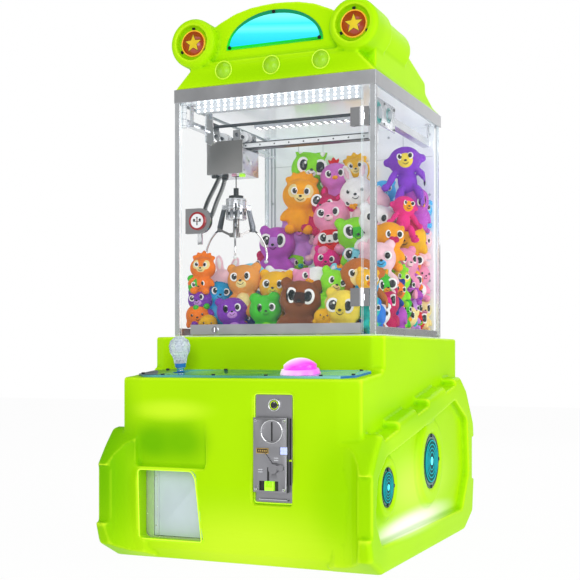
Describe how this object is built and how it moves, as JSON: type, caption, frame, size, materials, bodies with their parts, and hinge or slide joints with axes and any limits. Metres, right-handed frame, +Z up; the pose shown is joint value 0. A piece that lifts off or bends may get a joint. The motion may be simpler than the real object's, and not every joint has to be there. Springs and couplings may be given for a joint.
{
  "type": "claw crane machine",
  "caption": "Tabletop claw crane with a green moulded base and canopy, glass cabinet of plush toys, gantry with three prong claw, joystick, drop button, coin unit and prize flap.",
  "frame": {"origin": "on the floor under the centre of the machine's bounding box", "axes": "+Z up, front towards -Y, +X to the viewer's right when facing the front"},
  "size_m": [0.512, 0.676, 1.01],
  "materials": {
    "green_shell": "glossy rotomoulded polyethylene",
    "clear_acrylic": "clear polished acrylic",
    "glass": "clear",
    "aluminium": "satin anodised",
    "steel": "brushed",
    "zinc": "light grey powder coat",
    "chrome": "polished",
    "white_plastic": "matte white",
    "black_plastic": "matte black",
    "rubber": "matte",
    "dark_screw": "blackened steel",
    "cover_green": "dark green with lit cyan rings",
    "lamp_red": "red lens with a yellow star",
    "sign_cyan": "lit cyan lens with a green border",
    "button_pink": "translucent, lit magenta",
    "led": "diffused white",
    "plush_a": "short pile plush in mixed colours",
    "plush_b": "short pile plush in mixed colours",
    "teal_metal": "teal powder coat",
    "lock_red": "dark red ring on a steel barrel"
  },
  "bodies": {
    "cabinet": {"base_shell": "green_shell", "canopy_shell": "green_shell", "base_pan": "zinc", "rubber_feet": "rubber", "screws": "dark_screw", "porthole_covers": "cover_green", "control_panel": "clear_acrylic", "joystick_housing": "black_plastic", "button_housing": "button_pink", "button_spring": "steel", "cash_box": "zinc", "prize_bin": "zinc", "prize_chute": "white_plastic", "playfield_deck": "white_plastic", "cabinet_frame": "aluminium", "side_glass": "glass", "liner_panels": "white_plastic", "led_strips": "led", "hinge_brackets": "chrome", "gantry_rails": "steel", "y_drive_motor": "teal_metal", "toys_front_heap": "plush_a", "toys_tall_piles": "plush_b", "rear_service_panel": "zinc", "power_inlet": "black_plastic", "electronics": "zinc", "marquee_lens": "sign_cyan", "eye_discs": "lamp_red"},
    "door": {"door_glass": "glass", "door_fittings": "chrome", "door_rail": "aluminium"},
    "door_lock": {"door_lock": "lock_red"},
    "door_rail_lock": {"door_rail_lock": "chrome"},
    "coin_door": {"coin_door": "steel", "coin_mech": "steel"},
    "coin_door_lock": {"coin_door_lock": "chrome"},
    "reject_lever": {"reject_lever": "chrome"},
    "prize_flap": {"prize_flap": "steel"},
    "joystick_gimbal": {"joystick_gimbal": "black_plastic"},
    "joystick": {"joystick_shaft": "chrome", "joystick_knob": "clear_acrylic"},
    "drop_button": {"drop_button": "button_pink"},
    "bridge": {"bridge_beam": "steel"},
    "bridge_axle": {"bridge_axle": "white_plastic"},
    "carriage": {"carriage_box": "steel", "curly_cord": "rubber", "hoist_string": "black_plastic"},
    "carriage_axle_left": {"carriage_axle_left": "white_plastic"},
    "carriage_axle_right": {"carriage_axle_right": "white_plastic"},
    "hoist_drum": {"hoist_drum": "white_plastic"},
    "claw": {"claw_head": "chrome"},
    "claw_plunger": {"claw_plunger": "steel"},
    "power_switch": {"power_switch": "black_plastic"},
    "claw_prong_1": {"claw_prong_1": "chrome"},
    "claw_link_1": {"claw_link_1": "steel"},
    "claw_prong_2": {"claw_prong_2": "chrome"},
    "claw_link_2": {"claw_link_2": "steel"},
    "claw_prong_3": {"claw_prong_3": "chrome"},
    "claw_link_3": {"claw_link_3": "steel"}
  },
  "joints": [
    {"name": "door_swing", "type": "hinge", "parent": "cabinet", "child": "door", "pos_m": [0.1755, -0.1535, 0.62], "axis": [0, 0, 1], "range_deg": [0, 100]},
    {"name": "door_lock_turn", "type": "hinge", "parent": "door", "child": "door_lock", "pos_m": [-0.15, -0.15, 0.615], "axis": [0, 1, 0], "range_deg": [0, 90]},
    {"name": "door_rail_lock_turn", "type": "hinge", "parent": "door", "child": "door_rail_lock", "pos_m": [-0.113, -0.15, 0.411], "axis": [0, 1, 0], "range_deg": [0, 90]},
    {"name": "coin_door_swing", "type": "hinge", "parent": "cabinet", "child": "coin_door", "pos_m": [0.07, -0.2915, 0.117], "axis": [1, 0, 0], "range_deg": [0, 60]},
    {"name": "coin_door_lock_turn", "type": "hinge", "parent": "coin_door", "child": "coin_door_lock", "pos_m": [0.071, -0.29, 0.28], "axis": [0, 1, 0], "range_deg": [0, 90]},
    {"name": "reject_lever_turn", "type": "hinge", "parent": "coin_door", "child": "reject_lever", "pos_m": [0.074, -0.306, 0.174], "axis": [0, 1, 0], "range_deg": [0, 25], "stiffness_Nm_per_rad": 0.05},
    {"name": "prize_flap_swing", "type": "hinge", "parent": "cabinet", "child": "prize_flap", "pos_m": [-0.1205, -0.262, 0.164], "axis": [1, 0, 0], "range_deg": [0, 70]},
    {"name": "joystick_tilt_x", "type": "hinge", "parent": "cabinet", "child": "joystick_gimbal", "pos_m": [-0.137, -0.23862, 0.30516], "axis": [1, 0, 0], "range_deg": [-10, 10], "stiffness_Nm_per_rad": 1},
    {"name": "joystick_tilt_y", "type": "hinge", "parent": "joystick_gimbal", "child": "joystick", "pos_m": [-0.137, -0.23862, 0.30516], "axis": [0, 0.996, 0.0897], "range_deg": [-10, 10], "stiffness_Nm_per_rad": 1},
    {"name": "drop_button_press", "type": "slide", "parent": "cabinet", "child": "drop_button", "axis": [0, 0.0897, -0.996], "range_m": [0, 0.004], "stiffness_N_per_m": 400, "deforming": ["button_spring"]},
    {"name": "bridge_travel", "type": "slide", "parent": "cabinet", "child": "bridge", "axis": [0, 1, 0], "range_m": [0, 0.12]},
    {"name": "bridge_axle_turn", "type": "hinge", "parent": "bridge", "child": "bridge_axle", "pos_m": [0, -0.06, 0.8093], "axis": [1, 0, 0], "range_deg": [-820, 5]},
    {"name": "carriage_travel", "type": "slide", "parent": "bridge", "child": "carriage", "axis": [1, 0, 0], "range_m": [0, 0.165]},
    {"name": "carriage_axle_left_turn", "type": "hinge", "parent": "carriage", "child": "carriage_axle_left", "pos_m": [-0.14, -0.06, 0.7833], "axis": [0, 1, 0], "range_deg": [-5, 880]},
    {"name": "carriage_axle_right_turn", "type": "hinge", "parent": "carriage", "child": "carriage_axle_right", "pos_m": [-0.096, -0.06, 0.7833], "axis": [0, 1, 0], "range_deg": [-5, 880]},
    {"name": "hoist_travel", "type": "slide", "parent": "carriage", "child": "claw", "axis": [0, 0, -1], "range_m": [0, 0.12], "deforming": ["hoist_string", "curly_cord", "toys_front_heap", "toys_tall_piles"]},
    {"name": "hoist_drum_turn", "type": "hinge", "parent": "carriage", "child": "hoist_drum", "pos_m": [-0.115, -0.06, 0.734], "axis": [1, 0, 0], "range_deg": [-5, 600]},
    {"name": "claw_plunger_travel", "type": "slide", "parent": "claw", "child": "claw_plunger", "axis": [0, 0, -1], "range_m": [0, 0.016]},
    {"name": "claw_prong_1_turn", "type": "hinge", "parent": "claw", "child": "claw_prong_1", "pos_m": [-0.10426, -0.08368, 0.652], "axis": [0.9107, 0.4131, 0], "range_deg": [-1, 27]},
    {"name": "claw_link_1_turn", "type": "hinge", "parent": "claw_plunger", "child": "claw_link_1", "pos_m": [-0.11046, -0.07002, 0.597], "axis": [0.9107, 0.4131, 0], "range_deg": [-52, 1]},
    {"name": "claw_prong_2_turn", "type": "hinge", "parent": "claw", "child": "claw_prong_2", "pos_m": [-0.09986, -0.03886, 0.652], "axis": [-0.8131, 0.5821, 0], "range_deg": [-1, 27]},
    {"name": "claw_link_2_turn", "type": "hinge", "parent": "claw_plunger", "child": "claw_link_2", "pos_m": [-0.1086, -0.05106, 0.597], "axis": [-0.8131, 0.5821, 0], "range_deg": [-52, 1]},
    {"name": "claw_prong_3_turn", "type": "hinge", "parent": "claw", "child": "claw_prong_3", "pos_m": [-0.14088, -0.05746, 0.652], "axis": [-0.0976, -0.9952, 0], "range_deg": [-1, 27]},
    {"name": "claw_link_3_turn", "type": "hinge", "parent": "claw_plunger", "child": "claw_link_3", "pos_m": [-0.12595, -0.05893, 0.597], "axis": [-0.0976, -0.9952, 0], "range_deg": [-52, 1]},
    {"name": "power_switch_rock", "type": "hinge", "parent": "cabinet", "child": "power_switch", "pos_m": [0.155, 0.292, 0.103], "axis": [1, 0, 0], "range_deg": [0, 9]}
  ],
  "couplings": [
    {"joint": "bridge_axle_turn", "follows": "bridge_travel", "rad_per_m": -111.11},
    {"joint": "carriage_axle_left_turn", "follows": "carriage_travel", "rad_per_m": 90.909},
    {"joint": "carriage_axle_right_turn", "follows": "carriage_travel", "rad_per_m": 90.909},
    {"joint": "hoist_drum_turn", "follows": "hoist_travel", "rad_per_m": 83.333},
    {"joint": "claw_prong_1_turn", "follows": "claw_plunger_travel", "rad_per_m": 28.362},
    {"joint": "claw_link_1_turn", "follows": "claw_plunger_travel", "rad_per_m": -54.542},
    {"joint": "claw_prong_2_turn", "follows": "claw_plunger_travel", "rad_per_m": 28.362},
    {"joint": "claw_link_2_turn", "follows": "claw_plunger_travel", "rad_per_m": -54.542},
    {"joint": "claw_prong_3_turn", "follows": "claw_plunger_travel", "rad_per_m": 28.362},
    {"joint": "claw_link_3_turn", "follows": "claw_plunger_travel", "rad_per_m": -54.542}
  ]
}
